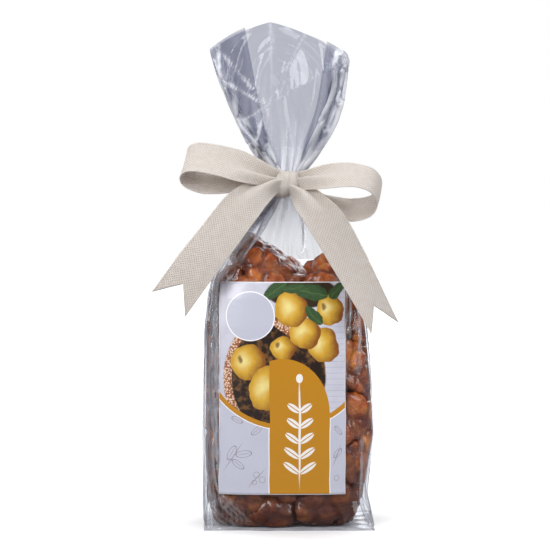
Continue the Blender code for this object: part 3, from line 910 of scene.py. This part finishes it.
# A plain printed picture, in millimetres from the label's lower left corner. Fruit: centre, half
# sizes, tilt in degrees. Leaves: the same.
FRUIT = (
    ((50.0, 72.0), (7.6, 8.4), 12), ((31.0, 70.5), (6.0, 5.6), 0), ((41.5, 77.5), (7.4, 7.8), -12),
    ((53.5, 88.5), (6.6, 7.4), 0), ((35.0, 89.0), (8.0, 8.8), 10), ((14.5, 63.5), (8.2, 8.6), 0),
    ((24.0, 51.0), (8.8, 10.8), -10),
)
LEAVES = (
    ((45.0, 97.0), (8.0, 3.4), -10), ((57.0, 98.0), (5.0, 2.6), 50), ((27.5, 98.0), (6.0, 2.8), 35),
    ((45.5, 86.5), (5.4, 2.4), -48), ((36.0, 99.0), (5.0, 2.2), 12),
)
# Line-drawn leaves on the plain ground: centre, half sizes, tilt in degrees.
DRAWN_LEAVES = (
    ((6.6, 20.0), (3.8, 1.6), 60), ((12.4, 19.6), (3.8, 1.6), 8), ((9.6, 14.6), (3.4, 1.4), -36),
    ((18.6, 31.0), (3.0, 1.3), 40), ((9.0, 36.0), (2.8, 1.2), -24), ((57.2, 20.0), (2.6, 1.2), 50),
    ((57.4, 31.0), (2.4, 1.0), -50),
)
DRAWN_BERRIES = (((18.6, 9.6), 1.4), ((21.4, 7.2), 1.4), ((17.6, 6.0), 1.1), ((56.8, 8.0), 1.2))
DRAWN_STEMS = (((3.0, 12.0), (11.6, 24.6)), ((14.6, 3.6), (22.6, 12.4)), ((54.8, 13.6), (58.8, 24.0)))
SPRIG_STEM = ((39.0, 6.0), (39.0, 54.0))
SPRIG_LEAVES = 5
DRAWN_LINE = 0.16


def stamp_group():
    """A node group: how far a place is from an ellipse's middle, 1 on its edge, and its own axes."""
    group = bpy.data.node_groups.new("ellipse", "ShaderNodeTree")
    for name, kind in (("Place", "NodeSocketVector"), ("Centre", "NodeSocketVector"),
                       ("Half", "NodeSocketVector"), ("Tilt", "NodeSocketFloat")):
        group.interface.new_socket(name, in_out="INPUT", socket_type=kind)
    group.interface.new_socket("Reach", in_out="OUTPUT", socket_type="NodeSocketFloat")
    group.interface.new_socket("Own", in_out="OUTPUT", socket_type="NodeSocketVector")
    n = Nodes(group)
    start, end = n.add("NodeGroupInput"), n.add("NodeGroupOutput")
    place, centre, half, tilt = start.outputs[:4]
    turned = n.add("ShaderNodeVectorRotate", rotation_type="Z_AXIS")
    n.link(n.vector("SUBTRACT", place, centre), turned.inputs["Vector"])
    n.link(tilt, turned.inputs["Angle"])
    own = n.vector("DIVIDE", turned.outputs[0], half)
    n.link(n.vector("LENGTH", own), end.inputs[0])
    n.link(own, end.inputs[1])
    return group


class Print:
    """Draws shapes one over another on the label, in millimetres."""

    def __init__(self, nodes, place, group):
        self.n, self.place, self.group = nodes, place, group

    def ellipse(self, centre, half, tilt=0.0):
        node = self.n.add("ShaderNodeGroup", node_tree=self.group)
        self.n.link(self.place, node.inputs[0])
        node.inputs[1].default_value = (*centre, 0)
        node.inputs[2].default_value = (*half, 1)
        node.inputs[3].default_value = -math.radians(tilt)
        return node.outputs[0], node.outputs[1]

    def reach(self, centre, half, tilt=0.0):
        return self.ellipse(centre, half, tilt)[0]

    def inside(self, reach, soft=0.02):
        """1 within an ellipse, with that soft an edge."""
        return self.n.step(reach, 1.0 + soft, 1.0 - soft)

    def ring(self, reach, width):
        """1 on an outline of that share of the ellipse's size."""
        off = self.n.math("ABSOLUTE", self.n.math("SUBTRACT", reach, 1.0))
        return self.n.step(off, width, width * 0.3)

    def over(self, under, mask, colour):
        colour = (*colour, 1.0) if isinstance(colour, tuple) and len(colour) == 3 else colour
        return self.n.mix(mask, under, colour)

    def line(self, start, end, width):
        """1 on a straight line between two points."""
        middle = [(a + b) / 2 for a, b in zip(start, end)]
        length = math.hypot(end[0] - start[0], end[1] - start[1])
        tilt = math.degrees(math.atan2(end[1] - start[1], end[0] - start[0]))
        return self.inside(self.reach(middle, (length / 2, width), tilt), 0.25)

    def fruit(self, under, centre, half, tilt):
        reach, own = self.ellipse(centre, half, tilt)
        light = self.reach((centre[0] - half[0] * 0.28, centre[1] + half[1] * 0.10),
                           (half[0] * 1.15, half[1] * 1.25), tilt)
        blotch = self.n.math("MULTIPLY_ADD", self.n.noise(own, 1.4, 3.0, 0.6), 0.5, -0.25)
        tone = self.n.math("ADD", light, blotch)
        colour = self.n.ramp(tone, ((0.08, (0.90, 0.74, 0.28)), (0.50, (0.70, 0.40, 0.035)),
                                    (1.0, (0.26, 0.08, 0.008))))
        return self.over(under, self.inside(reach), colour)

    def leaf(self, under, centre, half, tilt):
        reach, own = self.ellipse(centre, half, tilt)
        rib = self.n.step(self.n.math("ABSOLUTE", self.n.split(own)[1]), 0.10, 0.02)
        vein = self.n.noise(own, 2.2, 2.0, 0.6)
        shade = self.n.mix(self.n.math("MULTIPLY_ADD", vein, 0.9, self.n.times(rib, 0.5)),
                           (0.010, 0.026, 0.012, 1.0), (0.08, 0.17, 0.05, 1.0))
        return self.over(under, self.inside(reach, 0.04), shade)


def print_picture(n, p, across, up):
    """Pale boards, a woven basket, its dark inside, the fruit and the leaves."""
    place = p.place
    cloud = n.noise(place, 0.11, 3.0, 0.5)
    colour = n.mix(cloud, (0.50, 0.49, 0.58, 1), (0.74, 0.74, 0.84, 1))
    board = n.math("FRACT", n.times(up, 0.36))
    board = n.times(n.step(board, 0.16, 0.05), n.step(across, 48.0, 52.0))
    colour = p.over(colour, n.times(board, 0.55), (0.36, 0.38, 0.52))
    weave = n.step(n.voronoi(place, 1.25), 0.30, 0.62)
    weave = n.mix(weave, (0.86, 0.66, 0.50, 1), (0.34, 0.10, 0.03, 1))
    dark = n.mix(n.step(n.noise(place, 0.22, 3.0, 0.6), 0.45, 0.65), (0.018, 0.007, 0.004, 1),
                 (0.17, 0.075, 0.020, 1))
    colour = p.over(colour, p.inside(p.reach((27.0, 56.0), (24.5, 31.0))), weave)
    colour = p.over(colour, p.inside(p.reach((29.0, 56.5), (22.4, 29.0))), dark)
    colour = p.over(colour, p.inside(p.reach((33.0, 79.6), (8.5, 2.4), -28)), weave)
    colour = p.over(colour, p.inside(p.reach((40.0, 97.0), (17.0, 7.5)), 0.05), (0.035, 0.020, 0.008))
    p.place = n.wobble(place, 0.13, 1.9)
    for item in FRUIT:
        colour = p.fruit(colour, *item)
    for (x, y), (wide, tall), tilt in FRUIT[1::2]:
        end = p.inside(p.reach((x - wide * 0.45, y + tall * 0.2), (1.0, 1.5), tilt), 0.5)
        colour = p.over(colour, n.times(end, 0.8), (0.14, 0.045, 0.01))
    for item in LEAVES:
        colour = p.leaf(colour, *item)
    p.place = place
    return colour


def print_ground(n, p):
    """The plain ground with its line-drawn sprigs."""
    ground = n.mix(n.noise(p.place, 0.05, 1.0, 0.5), (0.545, 0.545, 0.645, 1), (0.60, 0.61, 0.72, 1))
    drawn = 0.0
    for centre, half, tilt in DRAWN_LEAVES:
        turn = math.radians(tilt)
        rib_x, rib_y = half[0] * 0.85 * math.cos(turn), half[0] * 0.85 * math.sin(turn)
        rib = p.line((centre[0] - rib_x, centre[1] - rib_y), (centre[0] + rib_x, centre[1] + rib_y), 0.13)
        outline = p.ring(p.reach(centre, half, tilt), DRAWN_LINE / half[1])
        drawn = n.math("MAXIMUM", drawn, n.math("MAXIMUM", outline, n.times(rib, 0.8)))
    for centre, radius in DRAWN_BERRIES:
        drawn = n.math("MAXIMUM", drawn, p.ring(p.reach(centre, (radius, radius)), DRAWN_LINE / radius))
    for start, end in DRAWN_STEMS:
        drawn = n.math("MAXIMUM", drawn, p.line(start, end, DRAWN_LINE))
    return p.over(ground, n.times(drawn, 0.85), (0.24, 0.20, 0.24))


def print_sprig(n, p):
    """1 on the plain sprig of the panel: a stem, pairs of leaves and a bud."""
    sprig = p.line(*SPRIG_STEM, 0.55)
    middle = SPRIG_STEM[0][0]
    for k in range(SPRIG_LEAVES):
        height = 10.0 + k * 7.4
        size = 4.6 - 0.30 * k
        for side in (-1, 1):
            centre = (middle + side * size * 0.86, height + size * 0.62)
            reach, own = p.ellipse(centre, (size, 1.55), side * 36)
            rib = n.step(n.math("ABSOLUTE", n.split(own)[1]), 0.10, 0.20)
            sprig = n.math("MAXIMUM", sprig, n.times(p.inside(reach, 0.03), rib))
    return n.math("MAXIMUM", sprig, p.inside(p.reach((middle, 56.0), (1.6, 2.2)), 0.05))


def label_material():
    material = new_material("printed_label")
    n = Nodes(material.node_tree)
    place = n.add("ShaderNodeUVMap", uv_map="print").outputs[0]
    across, up, _ = n.split(place)
    p = Print(n, place, stamp_group())
    colour = print_picture(n, p, across, up)

    # Below an arc of mustard comes the plain ground.
    arc = p.reach((32.6, 74.4), (43.0, 43.0))
    lower = n.step(up, 75.0, 74.0)
    colour = p.over(colour, n.times(n.step(arc, 0.999, 1.001), lower), print_ground(n, p))
    band = n.times(n.step(arc, 0.946, 0.949), n.step(arc, 1.001, 0.998))
    colour = p.over(colour, n.times(band, lower), MUSTARD)
    rim = n.times(n.step(arc, 0.999, 1.001), n.step(arc, 1.013, 1.010))
    colour = p.over(colour, n.times(rim, lower), WHITE_EDGE)

    # The mustard panel has a rounded shoulder and a plain white sprig.
    shoulder = p.reach((31.1, 40.1), (22.1, 25.2))
    rounded = n.math("MAXIMUM", p.inside(shoulder, 0.006), n.step(up, 40.2, 40.0))
    panel = n.times(n.step(across, 24.65, 24.8), n.step(across, 53.3, 53.15))
    panel = n.times(panel, rounded)
    wide = n.times(n.step(across, 24.1, 24.25), n.step(across, 53.8, 53.65))
    wide = n.times(wide, n.step(arc, 0.99, 1.0))
    colour = p.over(colour, n.times(wide, 0.9), WHITE_EDGE)
    colour = p.over(colour, panel, MUSTARD)
    colour = p.over(colour, n.times(print_sprig(n, p), panel), (0.93, 0.90, 0.86))

    # The round badge is bare.
    colour = p.over(colour, p.inside(p.reach((15.3, 85.7), (11.9, 11.9)), 0.004), (0.95, 0.95, 0.98))
    colour = p.over(colour, p.inside(p.reach((15.3, 85.7), (11.35, 11.35)), 0.006), (0.555, 0.56, 0.665))
    border = n.math("MINIMUM", n.math("MINIMUM", across, n.math("SUBTRACT", LABEL_WIDTH * 1000, across)),
                    n.math("MINIMUM", up, n.math("SUBTRACT", LABEL_TALL * 1000, up)))
    colour = p.over(colour, n.step(border, 0.42, 0.30), (0.90, 0.89, 0.92))

    grain = n.noise(place, 5.0, 3.0, 0.6)
    paper = n.shader(Base_Color=colour, Roughness=n.math("MULTIPLY_ADD", grain, 0.1, 0.30),
                     Normal=n.bump(n.noise(place, 0.7, 2.0, 0.5), 0.12, 0.0006))
    paper.node.inputs["Coat Weight"].default_value = 0.25
    paper.node.inputs["Coat Roughness"].default_value = 0.2
    n.output(paper)
    return material


def label_edges():
    """The CAD label's lowest and highest x at each height, from its own mesh."""
    at = np.array([v.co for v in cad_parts["front_label"].data.vertices])
    heights = np.unique(np.round(at[:, 2], 4))
    lows = [at[np.abs(at[:, 2] - h) < 0.0006, 0].min() for h in heights]
    highs = [at[np.abs(at[:, 2] - h) < 0.0006, 0].max() for h in heights]
    return heights, np.array(lows), np.array(highs)


def label():
    heights, lows, highs = label_edges()
    points, places = [], []
    for v in np.linspace(0, 1, LABEL_ROWS + 1):
        z = LABEL_LOW.z + v * LABEL_TALL
        xs = np.linspace(np.interp(z, heights, lows), np.interp(z, heights, highs), LABEL_COLUMNS * 4)
        ys = label_y(xs, np.full(len(xs), z))
        gone = np.concatenate([[0.0], np.cumsum(np.hypot(np.diff(xs), np.diff(ys)))])
        spots = np.linspace(0, gone[-1], LABEL_COLUMNS + 1)
        x, y = np.interp(spots, gone, xs), np.interp(spots, gone, ys)
        u = np.linspace(0, 1, LABEL_COLUMNS + 1)
        edge = np.minimum(np.minimum(u, 1 - u) * LABEL_WIDTH, min(v, 1 - v) * LABEL_TALL)
        lift = EDGE_LIFT * np.exp(-edge / EDGE_REACH)
        ripple = RIPPLE * np.sin(5.0 * u + 9.0 * v) * np.sin(math.pi * u)
        points.append(np.column_stack([x, y - lift - ripple, np.full(len(x), z)]))
        places.append(np.column_stack([u * LABEL_WIDTH, np.full(len(x), v * LABEL_TALL)]))
    points, places = np.array(points), np.array(places)
    rows, columns, _ = points.shape
    obj = new_mesh("front_label_print", points.reshape(-1, 3), grid_faces(rows, columns, False))
    set_places(obj, "print", places.reshape(-1, 2))
    obj.data.materials.append(label_material())
    paper = obj.modifiers.new("paper", "SOLIDIFY")
    paper.thickness = PAPER_THICKNESS
    paper.offset = -1.0
    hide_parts("front_label")
    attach(obj, BODY)
    return obj


# ---------------------------------------------------------------- the studio

FLOOR_RADIUS = 4.0
# The white that shows behind the bag, the light round it, and what its gloss reflects.
BACKGROUNDS = (((1, 1, 1, 1), 1.0), ((0.95, 0.97, 1.0, 1), 0.36), ((0.95, 0.97, 1.0, 1), 0.13))


def studio():
    floor = new_mesh("floor", [(FLOOR_RADIUS * math.cos(a), FLOOR_RADIUS * math.sin(a), 0.0)
                               for a in np.linspace(0, 2 * math.pi, 65)[:-1]], [range(64)], False)
    material = new_material("floor")
    n = Nodes(material.node_tree)
    diffuse = n.shader(Base_Color=(0.92, 0.92, 0.93, 1.0), Roughness=0.7)
    diffuse.node.inputs["Specular IOR Level"].default_value = 0.2
    plain = n.add("ShaderNodeBsdfDiffuse")
    plain.inputs["Color"].default_value = (0.30, 0.30, 0.31, 1)
    diffuse.node.inputs["Emission Color"].default_value = (1, 1, 1, 1)
    glow = n.math("MULTIPLY_ADD", n.step(n.vector("LENGTH", n.coords()), 0.05, 0.36), 1.05, 0.02)
    n.link(glow, diffuse.node.inputs["Emission Strength"])
    seen = n.add("ShaderNodeLightPath").outputs["Is Camera Ray"]
    n.output(n.mix_shaders(seen, plain.outputs[0], diffuse))
    floor.data.materials.append(material)

    world = bpy.data.worlds.new("studio")
    bpy.context.scene.world = world
    world.use_nodes = True
    w = Nodes(world.node_tree)
    world.node_tree.nodes.clear()
    seen, light, dim = (background(w, *values) for values in BACKGROUNDS)
    path = w.add("ShaderNodeLightPath")
    lit = w.mix_shaders(path.outputs["Is Glossy Ray"], light, dim)
    mixed = w.mix_shaders(path.outputs["Is Camera Ray"], lit, seen)
    w.link(mixed, w.add("ShaderNodeOutputWorld").inputs[0])

    lamp("key", (-0.55, -0.75, 0.62), (0.45, 0.60), 7.0)
    lamp("fill", (0.80, -0.55, 0.40), (0.35, 0.60), 3.6)
    lamp("top", (0.05, 0.10, 1.10), (0.9, 0.9), 8.0)
    lamp("back", (0.35, 0.85, 0.55), (0.7, 0.7), 3.5)
    lamp("back_left", (-0.75, 0.45, 0.45), (0.3, 0.7), 2.4)


def background(nodes, colour, strength):
    node = nodes.add("ShaderNodeBackground")
    node.inputs["Color"].default_value = colour
    node.inputs["Strength"].default_value = strength
    return node.outputs[0]


def lamp(name, place, size, power):
    data = bpy.data.lights.new(name, "AREA")
    data.shape = "RECTANGLE"
    data.size, data.size_y = size
    data.energy = power
    obj = bpy.data.objects.new(name, data)
    obj.location = place
    towards = Vector((0, 0, 0.12)) - Vector(place)
    obj.rotation_euler = towards.to_track_quat("-Z", "Y").to_euler()
    bpy.context.scene.collection.objects.link(obj)


def camera():
    data = bpy.data.cameras.new("camera")
    data.lens = 115.7
    data.sensor_width = 36.0
    data.clip_start = 0.05
    data.clip_end = 30.0
    obj = bpy.data.objects.new("camera", data)
    place, aim = Vector((-0.0058, -0.87, 0.158)), Vector((-0.0058, -0.010, 0.1223))
    obj.location = place
    obj.rotation_euler = (aim - place).to_track_quat("-Z", "Y").to_euler()
    bpy.context.scene.collection.objects.link(obj)
    bpy.context.scene.camera = obj


def main():
    bpy.context.scene.view_settings.view_transform = "Standard"
    camera()
    studio()
    candied_quince()
    film_bag()
    ribbon()
    label()


main()
